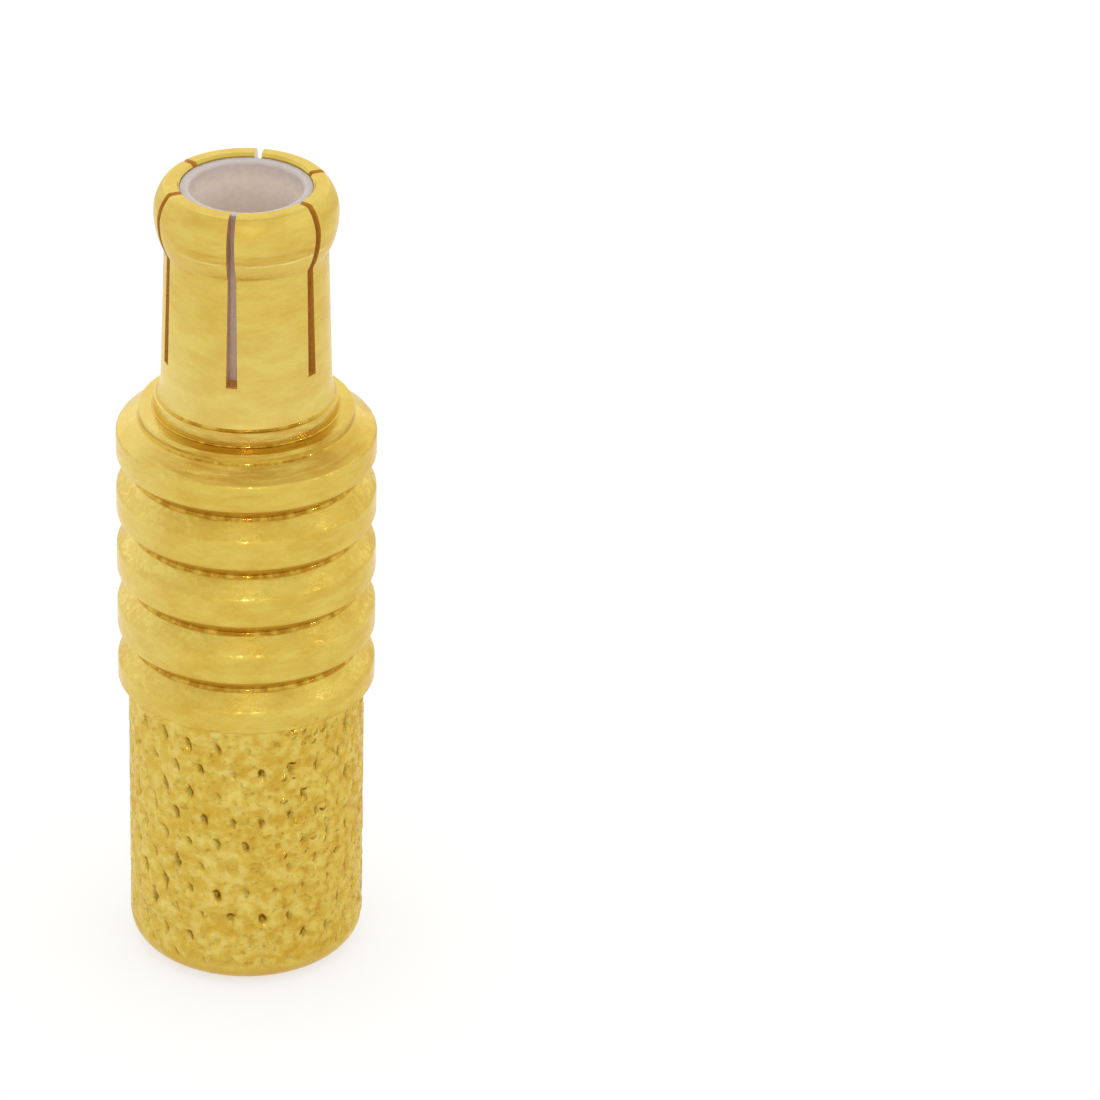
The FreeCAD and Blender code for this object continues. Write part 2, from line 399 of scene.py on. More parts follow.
def grain(rng, angles, heights):
    """Smooth random unevenness between -1 and 1 that closes around the barrel."""
    total = np.zeros((len(heights), len(angles)))
    span = heights[-1] - heights[0]
    for cells_around, cells_up, weight in ((72, 26, 0.35), (140, 50, 0.65)):
        table = rng.random((cells_up + 2, cells_around)) * 2 - 1
        x = angles / (2 * math.pi) * cells_around
        y = (heights - heights[0]) / span * cells_up
        xi = np.floor(x).astype(int)
        yi = np.floor(y).astype(int)
        tx = smooth((x - xi)[None, :])
        ty = smooth((y - yi)[:, None])
        left, right = xi % cells_around, (xi + 1) % cells_around
        low = table[yi][:, left] * (1 - tx) + table[yi][:, right] * tx
        high = table[yi + 1][:, left] * (1 - tx) + table[yi + 1][:, right] * tx
        total += weight * (low * (1 - ty) + high * ty)
    return total


def knurl_depth(s, angles, heights):
    """Depth of the worn knurl at each height and angle.

    Crossing ridges leave diamond cells, each pressed in by its own amount, with a small leaning
    hole near its middle where the wheel's tooth went deepest. Dents run over all.
    """
    step = 2 * math.pi / s.pits_around
    half = s.knurl_period / 2
    reach_a = math.pi * s.barrel_radius / s.pits_around
    inner = reach_a * half / math.hypot(reach_a, half)
    shrink = (inner - s.knurl_ridge / 2) / inner
    high = s.barrel_length - s.knurl_gap - half * shrink

    # p and q count the cells along the two sets of ridges
    u = (angles / step)[None, :]
    v = ((heights - high) / s.knurl_period)[:, None]
    p = u + v
    q = u - v
    p_off = p - np.round(p)
    q_off = q - np.round(q)
    across = np.maximum(np.abs(p_off), np.abs(q_off)) / 0.5
    cell = smooth(np.clip((shrink - across) / shrink, 0, 1))

    rng = np.random.default_rng(KNURL_SEED)
    row = np.round(p).astype(int) % KNURL_TABLE
    column = np.round(q).astype(int) % KNURL_TABLE

    def drawn():
        return rng.random((KNURL_TABLE, KNURL_TABLE))[row, column]

    pressed = 0.08 + 0.30 * drawn()
    tooth = 0.26 + 0.36 * drawn()
    shift_x = drawn() - 0.5
    shift_z = drawn() - 0.5
    around = (p_off + q_off) / 2 * step * s.barrel_radius
    upward = (p_off - q_off) / 2 * s.knurl_period - HOLE_SHIFT * shift_z
    aside = around + HOLE_LEAN * upward - HOLE_SHIFT * shift_x
    hole = smooth(np.clip(1 - np.hypot(aside / HOLE_WIDTH, upward / HOLE_HEIGHT), 0, 1))
    worn = ((1 + np.cos(angles - WORN_ANGLE)) / 2)[None, :] ** 4
    dents = grain(rng, angles, heights)
    deep = s.knurl_depth * (pressed * cell + tooth * (1 - WORN_SHARE * worn) * hole)
    deep += DENT_DEPTH * (dents + 0.1)
    fade_low = np.clip((heights - s.knurl_low) / KNURL_FADE_LOW, 0, 1)[:, None]
    fade_high = np.clip((s.barrel_length - s.knurl_gap - heights) / KNURL_FADE_HIGH, 0, 1)[:, None]
    return deep.clip(0, s.knurl_depth) * fade_low * fade_high


def add_node(tree, kind, inputs=None, **settings):
    """Adds one node with its settings; an input is a value or another node's output."""
    node = tree.nodes.new(kind)
    for key, value in settings.items():
        setattr(node, key, value)
    for key, value in (inputs or {}).items():
        if isinstance(value, bpy.types.NodeSocket):
            tree.links.new(value, node.inputs[key])
        else:
            node.inputs[key].default_value = value
    return node


def new_material(name):
    """An empty node material and its tree."""
    material = bpy.data.materials.new(name)
    material.use_nodes = True
    material.node_tree.nodes.clear()
    return material, material.node_tree


def times(tree, first, second):
    """The product of two values."""
    return add_node(tree, "ShaderNodeMath", {0: first, 1: second}, operation="MULTIPLY").outputs[0]


def times_plus(tree, first, second, third):
    """The product of two values, with a third added."""
    values = {0: first, 1: second, 2: third}
    return add_node(tree, "ShaderNodeMath", values, operation="MULTIPLY_ADD").outputs[0]


def scaled(tree, place, factors):
    """A place with each coordinate times its own factor."""
    return add_node(tree, "ShaderNodeVectorMath", {0: place, 1: factors}, operation="MULTIPLY").outputs[0]


def blend(tree, share, first, second):
    """A colour between two, by a share."""
    return add_node(tree, "ShaderNodeMix", {0: share, 6: first, 7: second}, data_type="RGBA").outputs[2]


def ranged(tree, value, low, high, to_low=0.0, to_high=1.0):
    """Carries a value from one range over to another, and holds it at both ends."""
    ends = {0: value, 1: low, 2: high, 3: to_low, 4: to_high}
    return add_node(tree, "ShaderNodeMapRange", ends).outputs[0]


def between(tree, value, low, high, soft):
    """A mask that is one between two values and fades out over a soft margin."""
    rise = ranged(tree, value, low - soft, low)
    fall = ranged(tree, value, high + soft, high)
    return times(tree, rise, fall)


def noise(tree, spot, size, detail, roughness=0.5):
    """Cloudy noise around 0.5; size is the width of its largest patches."""
    values = {"Vector": spot, "Scale": 1 / size, "Detail": detail, "Roughness": roughness}
    return add_node(tree, "ShaderNodeTexNoise", values).outputs[0]


def dented(tree, height, depth):
    """The normal of a surface that is bumped by a height; one unit of height is depth deep."""
    values = {"Height": height, "Distance": depth, "Strength": 1.0}
    return add_node(tree, "ShaderNodeBump", values).outputs[0]


def finish(tree, values):
    """Ends a material with a Principled shader that has these inputs."""
    shader = add_node(tree, "ShaderNodeBsdfPrincipled", values)
    add_node(tree, "ShaderNodeOutputMaterial", {"Surface": shader.outputs[0]})


def around_axis(tree):
    """Position, height, radius, angle and side from the front, and a path across every turned face.

    side runs from -1 at the left to 1 at the right and has no seam at the back.
    """
    place = add_node(tree, "ShaderNodeTexCoord").outputs["Object"]
    x, y, height = add_node(tree, "ShaderNodeSeparateXYZ", {0: place}).outputs
    flat = scaled(tree, place, (1, 1, 0))
    radius = add_node(tree, "ShaderNodeVectorMath", {0: flat}, operation="LENGTH").outputs["Value"]
    toward = times(tree, y, -1.0)
    angle = add_node(tree, "ShaderNodeMath", {0: x, 1: toward}, operation="ARCTAN2").outputs[0]
    side = add_node(tree, "ShaderNodeMath", {0: x, 1: radius}, operation="DIVIDE").outputs[0]
    path = times_plus(tree, radius, PATH_SLOPE, height)
    return place, height, radius, angle, side, path


def wound(tree, angle, path, stretch):
    """A place for noise that then runs around the axis; a larger stretch gives shorter streaks."""
    along = times(tree, angle, stretch)
    return add_node(tree, "ShaderNodeCombineXYZ", {0: along, 1: path}).outputs[0]


def painted_light_on_left(tree, tint, colours, height, side, pale):
    """Painted light: plating paler on the left; pale gives two heights, the share at each and the rest's
    share.
    """
    low, high, low_share, high_share, elsewhere = pale
    fading = ranged(tree, height, low, high, low_share, high_share)
    left = ranged(tree, side, -0.48, -0.89, elsewhere, 1.0)
    return blend(tree, times(tree, fading, left), tint, colours.gold_pale)


def streaks_and_painted_light(tree, tint, height, angle, path, streaked):
    """Streaks that run around the plug at its front; their bands carry painted shade and a painted
    highlight line.

    streaked lists their bands as low, high, soft margin, share and colour.
    """
    streak_noise = noise(tree, wound(tree, angle, path, 0.3 * MM), STREAK_SIZE, 4.0)
    dark = ranged(tree, streak_noise, 0.35, 0.65, 0.1, 0.75)
    dark = times(tree, dark, between(tree, angle, -0.4, 0.8, 0.6))
    for low, high, soft, share, shade in streaked:
        band = times(tree, between(tree, height, low, high, soft), share)
        tint = blend(tree, times(tree, dark, band), tint, shade)
    return tint


def sparkling_nicks(tree, place, height, angle):
    """A few sharp nicks at the knurl's upper right that catch the side lamp as sparkles."""
    cells = add_node(tree, "ShaderNodeTexVoronoi", {"Vector": place, "Scale": 1 / NICK_SIZE})
    chosen = add_node(tree, "ShaderNodeSeparateColor", {0: cells.outputs["Color"]}).outputs[0]
    rare = ranged(tree, chosen, 0.6, 0.62)
    nick = ranged(tree, cells.outputs["Distance"], 0.42, 0.0, to_high=50.0)
    upper = between(tree, height, 3.0 * MM, 5.9 * MM, 0.8 * MM)
    where = times(tree, between(tree, angle, 0.35, 0.75, 0.2), upper)
    return times(tree, times(tree, rare, nick), where)


def knurl_plate(tree, colours, spots, knurl, tint, relief, shine):
    """The knurled band: crumpled, blotched orange and pale, with painted shade in its pits; its
    paler left is painted light.

    knurl gives the band's two heights and its crest radius. The tint, the relief, the roughness
    and the coat's weight come back.
    """
    place, height, radius, angle, side = spots
    low, high, crest = knurl
    band = between(tree, height, low, high, 0.15 * MM)

    # blotches of worn plating, warmer on the right; more pale ones on the left are painted light
    blotches = noise(tree, place, BLOTCH_SIZE, 2.5)
    warmth = ranged(tree, side, -0.72, 0.48, 0.35, 1.0)
    orange = times(tree, ranged(tree, blotches, 0.46, 0.7, to_high=0.8), warmth)
    tint = blend(tree, times(tree, orange, band), tint, colours.gold_wear_and_shade)
    left_light = ranged(tree, side, -0.3, 0.72, 1.0, 0.45)
    rubbed = times(tree, ranged(tree, blotches, 0.5, 0.3, to_high=0.38), left_light)
    tint = blend(tree, times(tree, rubbed, band), tint, colours.gold_pale)

    # painted shade in the pits, darker the deeper, and brown specks over all
    deep = ranged(tree, radius, crest - 0.05 * MM, crest - 0.11 * MM, to_high=0.7)
    tint = blend(tree, times(tree, deep, band), tint, colours.pits)
    crumple = noise(tree, place, CRUMPLE_SIZE, 2.0)
    specks = ranged(tree, crumple, 0.57, 0.76, to_high=0.5)
    tint = blend(tree, times(tree, specks, band), tint, colours.pits)

    # crumpled more on the right, where the side lamp grazes it
    swell = ranged(tree, side, -0.2, 0.64, 10.0, 18.0)
    relief = times_plus(tree, times(tree, crumple, band), swell, relief)
    nicks = sparkling_nicks(tree, place, height, angle)
    relief = add_node(tree, "ShaderNodeMath", {0: nicks, 1: relief}, operation="ADD").outputs[0]
    shine = times(tree, shine, ranged(tree, crumple, 0.36, 0.5, 0.35, 1.0))
    coat = ranged(tree, band, 0.0, 1.0, PLATE_COAT, 0.0)
    return tint, relief, shine, coat


def gold_plate(name, colours, roughness, streaked=(), pale=None, knurl=None):
    """Gold flash over nickel on turned brass.

    It gives the eye a satin yellow metal with warmer patches, the fine rings that the tool left and
    painted shade, a browner tone on faces that look down. A thin coat adds a paler glint.
    """
    material, tree = new_material(name)
    place, height, radius, angle, side, path = around_axis(tree)

    # the tool's rings and the plating's grain, which is drawn out around the axis
    rings = {"W": path, "Scale": 1 / TOOL_RINGS, "Detail": 3.0}
    marks = add_node(tree, "ShaderNodeTexNoise", rings, noise_dimensions="1D").outputs[0]
    drawn = scaled(tree, place, (1, 1, GRAIN_FLATTENED))
    grains = noise(tree, drawn, GRAIN_SIZE, 5.0)
    relief = times_plus(tree, grains, 3.0, marks)

    patches = noise(tree, drawn, PATCH_SIZE, 8.0, 0.68)
    tint = blend(tree, ranged(tree, patches, 0.38, 0.62), colours.gold, colours.gold_warm)
    facing = add_node(tree, "ShaderNodeNewGeometry").outputs["Normal"]
    upward = add_node(tree, "ShaderNodeSeparateXYZ", {0: facing}).outputs["Z"]
    # painted shade: faces that look down are tinted browner
    under = ranged(tree, upward, -0.1, -0.6, to_high=0.35)
    tint = blend(tree, under, tint, colours.gold_wear_and_shade)
    # painted light: plating paler on the left side
    if pale:
        tint = painted_light_on_left(tree, tint, colours, height, side, pale)
    tint = streaks_and_painted_light(tree, tint, height, angle, path, streaked)

    # the grain varies the shine, and faces that slope upwards are scuffed
    shine = ranged(tree, grains, 0.3, 0.7, roughness - 0.04, roughness + 0.07)
    shine = times_plus(tree, between(tree, upward, 0.3, 0.6, 0.1), 0.26, shine)
    coat = PLATE_COAT
    if knurl:
        spots = (place, height, radius, angle, side)
        tint, relief, shine, coat = knurl_plate(tree, colours, spots, knurl, tint, relief, shine)
    finish(tree, {
        "Base Color": tint,
        "Metallic": 1.0,
        "Specular Tint": colours.gold_edge,
        "Roughness": shine,
        "Coat Weight": coat,
        "Coat Roughness": 0.25,
        "Normal": dented(tree, relief, RELIEF_DEPTH),
    })
    return material


def creased_gold(name, colours, reach):
    """Plating in the inner corners with painted shade at the front, rubbed bright in spots.

    The painted shade gives the eye a broken dark line with glints from the front lamp in it. reach is the
    angle to each side of the front over which the painted shade lies.
    """
    material, tree = new_material(name)
    place, _, _, angle, _, path = around_axis(tree)
    line_noise = noise(tree, wound(tree, angle, path, 1.1 * MM), CREASE_NOISE_SIZE, 3.0)
    chatter = noise(tree, place, CHATTER_SIZE, 2.0)
    # painted shade: a broken brown line at the front of each crease
    amount = ranged(tree, line_noise, 0.36, 0.58, to_high=0.85)
    front = between(tree, angle, -reach, reach, 0.45)
    finish(tree, {
        "Base Color": blend(tree, times(tree, amount, front), colours.gold_warm, colours.residue_and_shade),
        "Metallic": 1.0,
        "Roughness": ranged(tree, line_noise, 0.35, 0.65, 0.05, 0.16),
        "Normal": dented(tree, chatter, CHATTER_DEPTH),
    })
    return material


def painted_shade_gold(name, colours, reach):
    """Plating beside the creases and under the lands, with painted shade at the front.

    It gives the eye a soft, broken brown line. reach is the angle to each side of the front.
    """
    material, tree = new_material(name)
    _, _, _, angle, _, path = around_axis(tree)
    line_noise = noise(tree, wound(tree, angle, path, 0.8 * MM), SHADE_NOISE_SIZE, 4.0)
    # painted shade: a soft, broken brown band at the front
    amount = ranged(tree, line_noise, 0.4, 0.62, to_high=0.6)
    front = between(tree, angle, -reach, reach, 0.45)
    tint = blend(tree, times(tree, amount, front), colours.gold_warm, colours.residue_and_shade)
    finish(tree, {"Base Color": tint, "Metallic": 1.0, "Roughness": 0.35})
    return material


def sawn_gold(name, colours):
    """Faces left by the slitting saw, thinly plated.

    They give the eye an orange brown: only a quarter metallic, so that it shows in the dark
    slots, under a smooth coat.
    """
    material, tree = new_material(name)
    place = add_node(tree, "ShaderNodeTexCoord").outputs["Object"]
    cuts = noise(tree, place, SAW_MARKS, 4.0)
    finish(tree, {
        "Base Color": blend(tree, cuts, colours.sawn, colours.gold_wear_and_shade),
        "Metallic": 0.25,
        "Roughness": 0.5,
        "Coat Weight": 1.0,
        "Coat Roughness": 0.15,
        "Normal": dented(tree, cuts, SAW_DEPTH),
    })
    return material


def white_ptfe(name, colours, rim_height):
    """Turned PTFE.

    It gives the eye a waxy white that light enters a little way, greyed where the tool cut the rim.
    """
    material, tree = new_material(name)
    place = add_node(tree, "ShaderNodeTexCoord").outputs["Object"]
    height = add_node(tree, "ShaderNodeSeparateXYZ", {0: place}).outputs["Z"]
    grains = noise(tree, place, PTFE_GRAIN, 4.0)
    rim = ranged(tree, height, rim_height - 0.4 * MM, rim_height - 0.02 * MM)
    mottle = ranged(tree, grains, 0.3, 0.7, 0.94, 1.03)
    shades = {0: blend(tree, rim, colours.ptfe, colours.ptfe_rim), "Scale": mottle}
    finish(tree, {
        "Base Color": add_node(tree, "ShaderNodeVectorMath", shades, operation="SCALE").outputs[0],
        "Roughness": 0.5,
        "IOR": 1.38,
        "Subsurface Weight": 0.5,
        "Subsurface Radius": (1.0, 0.8, 0.7),
        "Subsurface Scale": PTFE_LIGHT,
        "Normal": dented(tree, grains, PTFE_DEPTH),
    })
    return material


def studio_floor(name, colours):
    """Matt paper; the camera and reflections see it lifted to white, with the shadow kept."""
    material, tree = new_material(name)
    rays = add_node(tree, "ShaderNodeLightPath").outputs
    paper = add_node(tree, "ShaderNodeBsdfDiffuse", {"Color": colours.floor}).outputs[0]
    lift = add_node(tree, "ShaderNodeEmission", {"Color": WHITE, "Strength": FLOOR_LIFT}).outputs[0]
    bright = add_node(tree, "ShaderNodeAddShader", {0: paper, 1: lift}).outputs[0]
    kinds = {0: rays["Is Glossy Ray"], 1: rays["Is Camera Ray"]}
    share = add_node(tree, "ShaderNodeMath", kinds, operation="MAXIMUM").outputs[0]
    seen = add_node(tree, "ShaderNodeMixShader", {0: share, 1: paper, 2: bright}).outputs[0]
    add_node(tree, "ShaderNodeOutputMaterial", {"Surface": seen})
    return material


def dress(piece, material, node):
    """Gives a piece its material and its body, and hides the CAD node that it stands for."""
    piece.data.materials.append(material)
    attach(piece, "root")
    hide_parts(node)


def groove_outline(s, low):
    """One groove above a land's edge: painted shade beside its narrow floor, then the next land's edge.
    """
    floor_radius = s.ring_radius - s.groove_depth
    floor_low = low + s.groove_width / 2 + s.groove_lift - s.groove_floor / 2
    floor_high = floor_low + s.groove_floor
    lower = ((s.ring_radius, low), (floor_radius, floor_low))
    upper = ((floor_radius, floor_high), (s.ring_radius, low + s.groove_width))
    return [
        (*lower[0], LAND_ROUND),
        flank_point(*lower, 0.85, PAINTED_SHADE),
        flank_point(*lower, 0.89, CREASED),
        (*lower[1], CREASE_ROUND, CREASED),
        (*upper[0], CREASE_ROUND, CREASED),
        flank_point(*upper, 0.04, CREASED),
        flank_point(*upper, 0.28, PAINTED_SHADE),
        (*upper[1], LAND_ROUND),
    ]


def shoulder_outline(s, top, face):
    """The cone above the front ring and the step that the sleeve's collar sits on."""
    step = ((s.shoulder_radius, top + s.shoulder_cone), (s.shoulder_radius, face))
    return [
        (s.ring_radius, top, LAND_ROUND),
        (*step[0], 0.04 * MM, SHOULDER_CREASED),
        flank_point(*step, 0.25, SHOULDER_PAINTED_SHADE),
        flank_point(*step, 0.55, PLATED),
        (*step[1], EDGE_ROUND),
        (s.seat_radius, face, 0),
    ]


def bore_outline(s, stem):
    """The seat for the sleeve's stem, the inner flange and the bore down to the rear face."""
    flange = stem - s.flange_length
    return [
        (s.seat_radius, stem, 0),
        (s.flange_radius, stem, EDGE_ROUND),
        (s.flange_radius, flange, EDGE_ROUND),
        (s.bore_radius, flange, CREASE_ROUND),
        (s.bore_radius, 0.0, CREASE_ROUND),
    ]


class PLUG_OT_body(Operator):
    """Build the turned body: knurled barrel, ringed grip and shoulder"""

    bl_idname = "plug.body"
    bl_label = "Body"

    def execute(self, context):
        s = context.scene.plug_body
        level = levels(context.scene)

        # the profile from the top of the barrel, over the grip and down the bore to the rear face
        outside = [
            (s.barrel_radius, s.barrel_length, 0.03 * MM, CREASED),
            (s.ring_radius, s.barrel_length, EDGE_ROUND),
        ]
        low = s.barrel_length + s.rear_land
        for _ in range(s.ring_count - 1):
            outside += groove_outline(s, low)
            low += s.ring_pitch
        top = low - (s.ring_pitch - s.groove_width) + s.front_land
        outside += shoulder_outline(s, top, level["face"])
        outside += bore_outline(s, level["stem"])
        lip_centre = (s.barrel_radius - s.lip_round, s.lip_round)
        lip = arc_points(lip_centre, s.lip_round, -math.pi / 2, -math.asin(LIP_SHARE), 9)
        closed = [(s.barrel_radius, s.lip_round, 0)] + outside + [(lip[0][0], 0.0, 0)]
        profile = soften(closed)[1:-1]

        # the barrel's own rows, which the knurl is pressed into
        knurl_rows = np.arange(lip[-1][1], s.barrel_length - CREASE_ROUND, KNURL_ROW)[1:]
        below = (s.lip_round - knurl_rows).clip(0, None)
        plain = s.barrel_radius - s.lip_round + np.sqrt(s.lip_round ** 2 - below ** 2)
        columns = s.pits_around * PIT_STEPS
        angles = np.linspace(0, 2 * math.pi, columns, endpoint=False)
        depth = knurl_depth(s, angles, knurl_rows)

        heights = [z for _, z in lip] + list(knurl_rows) + [z for _, z, _ in profile]
        finishes = [PLATED] * (len(lip) + len(knurl_rows)) + [f for _, _, f in profile]
        even = np.ones(columns)
        radii = np.concatenate([
            np.outer([r for r, _ in lip], even),
            plain[:, None] - depth,
            np.outer([r for r, _, _ in profile], even),
        ])
        piece = turned("turned_body", radii, heights, columns, SHARP_ROUNDED, finishes)

        looks = context.scene.plug_colours
        knurl = (0.56 * MM, s.barrel_length - s.knurl_gap, s.barrel_radius)
        # painted light: the grip and shoulder paler on their left, the barrel barely
        pale = (s.barrel_length, s.barrel_length + 1.0 * MM, 0.05, 0.3, 0.0)
        # streaks at the shoulder's front, darkened as painted shade
        streaked = [
            (top + 0.04 * MM, level["face"], 0.04 * MM, 0.9, looks.gold_wear_and_shade),
            (top + 0.08 * MM, level["face"], 0.06 * MM, 0.42, looks.residue_and_shade),
        ]
        metal = gold_plate("Gold plated turned brass", looks, 0.25, streaked, pale, knurl)
        dress(piece, metal, "body")
        # painted shade: brown lines in the creases, under the lands and at the shoulder, at the front
        for extra in (
            creased_gold("Gold in the grooves' floors", looks, 1.0),
            painted_shade_gold("Tarnished gold under the lands", looks, 1.1),
            creased_gold("Gold at the shoulder's foot", looks, 0.55),
            painted_shade_gold("Tarnished gold at the shoulder", looks, 0.6),
        ):
            piece.data.materials.append(extra)
        return {"FINISHED"}


def bulge_points(s, level):
    """The snap bulge from the top of the neck: its rear round, its front round and the rim's."""
    rear_centre = s.bulge_radius - s.rear_round
    rear_angle = math.acos((s.neck_top - rear_centre) / s.rear_round)
    front_centre = s.bulge_radius - s.front_round
    lift = level["rim"] - s.rim_round - level["bulge"]
    reach = math.sqrt((s.front_round - s.rim_round) ** 2 - lift ** 2)
    front_angle = math.atan2(lift, reach)
    rim_centre = (front_centre + reach, level["rim"] - s.rim_round)
    rear = arc_points((rear_centre, level["bulge"]), s.rear_round, -rear_angle, 0, 12)
    front = arc_points((front_centre, level["bulge"]), s.front_round, 0, front_angle, 9)
    rim = arc_points(rim_centre, s.rim_round, front_angle, math.pi / 2, 6)
    return rear + front[1:] + rim[1:]


def sleeve_outline(s, seat, level):
    """Closed profile of the sleeve, the range of its points that the slots cut, and its creases."""
    bulge = bulge_points(s, level)
    neck_radius, neck_height = bulge[0]
    flare_top = level["collar"] + s.flare_height
    edge = 0.03 * MM

    def neck_at(z):
        share = (z - flare_top) / (neck_height - flare_top)
        return s.neck_base + (neck_radius - s.neck_base) * share

    stem = soften([
        (s.bore_radius, level["stem"], 0),
        (seat, level["stem"], edge),
        (seat, level["face"], 0),
        (s.collar_radius + 0.05 * MM, level["face"], 0, CREASED),
        (s.collar_radius, level["face"] + 0.002 * MM, EDGE_ROUND, CREASED),
        (s.collar_radius, level["collar"], edge),
        (s.neck_base + s.flare * 0.75, level["collar"], 0.05 * MM, CREASED),
        (s.neck_base, flare_top, 0.12 * MM),
        (neck_at(level["root"]), level["root"], 0),
    ])[1:]
    creased = [i for i, (_, _, finish) in enumerate(stem) if finish == CREASED]
    outline = [(r, z) for r, z, _ in stem]
    first_cut = len(outline) - 1
    outline += [(neck_at(z), z) for z in np.linspace(level["root"], neck_height, 14)[1:-1]]
    outline += bulge
    outline.append((s.bore_radius + s.bore_break, level["rim"]))
    bore = np.linspace(level["rim"] - s.bore_break, level["root"], 12)
    outline += [(s.bore_radius, z) for z in bore]
    cut = range(first_cut, len(outline))
    outline.append((s.bore_radius, level["stem"]))
    return outline, cut, creased


class PLUG_OT_outer_contact(Operator):
    """Build the slotted spring sleeve with its collar and snap bulge"""

    bl_idname = "plug.outer_contact"
    bl_label = "Outer contact"

    def points(self, s, level, outline, cut):
        """Points of every finger, which runs from one slot to the next."""
        pitch = 2 * math.pi / s.slot_count
        taper = (s.slot_root_width - s.slot_rim_width) / (level["rim"] - level["root"])
        verts = []
        for k in range(s.slot_count):
            for i, (r, z) in enumerate(outline):
                climb = max(0.0, z - level["root"]) if i in cut else 0.0
                half = math.asin((s.slot_root_width - taper * climb) / 2 / r)
                first = s.slot_turn + k * pitch + half
                last = s.slot_turn + (k + 1) * pitch - half
                for j in range(FINGER_STEPS + 1):
                    a = first + (last - first) * j / FINGER_STEPS
                    verts.append((r * math.cos(a), r * math.sin(a), z))
        return verts

    def faces(self, fingers, rows, cut, creased):
        """Faces and their finishes: the fingers' skin, the ring below the slots, the sawn walls."""
        end = FINGER_STEPS
        low, high = cut[0], cut[-1]
        faces = []
        finishes = []

        def at(k, i, j):
            return ((k % fingers) * rows + i % rows) * (end + 1) + j

        for k in range(fingers):
            for i in range(rows):
                for j in range(end):
                    faces.append((at(k, i, j), at(k, i, j + 1), at(k, i + 1, j + 1), at(k, i + 1, j)))
                if i < low or i >= high:
                    faces.append((at(k, i, end), at(k + 1, i, 0), at(k + 1, i + 1, 0), at(k, i + 1, end)))
                finishes += [CREASED if i in creased else PLATED] * (len(faces) - len(finishes))
            faces.append([at(k, i, end) for i in cut])
            faces.append([at(k, i, 0) for i in cut])
            faces.append((at(k, low, end), at(k + 1, low, 0), at(k + 1, high, 0), at(k, high, end)))
            finishes += [SAWN] * 3
        return faces, finishes

    def execute(self, context):
        scene = context.scene
        s = scene.plug_sleeve
        level = levels(scene)
        outline, cut, creased = sleeve_outline(s, scene.plug_body.seat_radius, level)
        verts = self.points(s, level, outline, cut)
        faces, finishes = self.faces(s.slot_count, len(outline), cut, creased)
        piece = new_object("slotted_outer_contact", verts, faces)
        piece.data.polygons.foreach_set("material_index", finishes)

        # painted light paler above the collar and on the left; streaks with painted shade on the collar
        # and behind the bulge, and a painted highlight line under that
        looks = scene.plug_colours
        collar, bulge = level["collar"], level["bulge"]
        pale = (collar + 0.4 * MM, collar + 2.4 * MM, 0.5, 0.12, 0.45)
        streaked = [
            (level["face"], collar, 0.04 * MM, 1.0, looks.gold_wear_and_shade),
            (bulge - 0.34 * MM, bulge - 0.2 * MM, 0.1 * MM, 0.8, looks.gold_wear_and_shade),
            (bulge - 0.40 * MM, bulge - 0.38 * MM, 0.02 * MM, 1.3, looks.gold_pale),
        ]
        metal = gold_plate("Gold plated spring sleeve", looks, 0.24, streaked, pale)
        dress(piece, metal, "outer_contact")
        piece.data.materials.append(creased_gold("Gold in the sleeve's creases", looks, 0.6))
        piece.data.materials.append(sawn_gold("Sawn slot faces", looks))
        return {"FINISHED"}


class PLUG_OT_insulator(Operator):
    """Build the white insulator cup"""

    bl_idname = "plug.insulator"
    bl_label = "Insulator"

    def execute(self, context):
        scene = context.scene
        s = scene.plug_core
        level = levels(scene)
        outer = scene.plug_sleeve.bore_radius
        inner = outer - s.wall
        edge = 0.05 * MM
        radii, heights, _ = zip(*soften([
            (s.cup_radius, level["stem"], 0),
            (outer, level["stem"], edge),
            (outer, level["cup_top"], 0.02 * MM),
            (inner, level["cup_top"], 0.08 * MM),
            (inner, level["cup_floor"], edge),
            (s.pin_radius, level["cup_floor"], 0),
            (s.pin_radius, level["pin_stop"], 0),
            (s.cup_radius, level["pin_stop"], 0),
        ]))
        piece = turned("white_insulator", radii, heights, CUP_STEPS, SHARP_ROUNDED)
        plastic = white_ptfe("White turned PTFE", scene.plug_colours, level["cup_top"])
        dress(piece, plastic, "insulator")
        return {"FINISHED"}


class PLUG_OT_centre_contact(Operator):
    """Build the centre contact with its solder cup"""

    bl_idname = "plug.centre_contact"
    bl_label = "Centre contact"

    def execute(self, context):
        scene = context.scene
        s = scene.plug_core
        level = levels(scene)
        top = level["rim"] - s.pin_recess
        base = level["stem"] - s.cup_behind
        floor = base + s.cup_bore_depth
        tiny = 0.002 * MM
        edge = 0.02 * MM
        radii, heights, _ = zip(*soften([
            (s.pin_radius, top - s.pin_tip, 0.1 * MM),
            (s.pin_radius * 0.45, top, 0.06 * MM),
            (tiny, top, 0),
            (tiny, floor, 0),
            (s.cup_bore, floor, edge),
            (s.cup_bore, base, edge),
            (s.cup_radius, base, edge),
            (s.cup_radius, level["pin_stop"], edge),
            (s.pin_radius, level["pin_stop"], 0),
        ]))
        piece = turned("centre_pin", radii, heights, PIN_STEPS)
        metal = gold_plate("Gold plated pin", scene.plug_colours, 0.16)
        dress(piece, metal, "centre_contact")
        return {"FINISHED"}


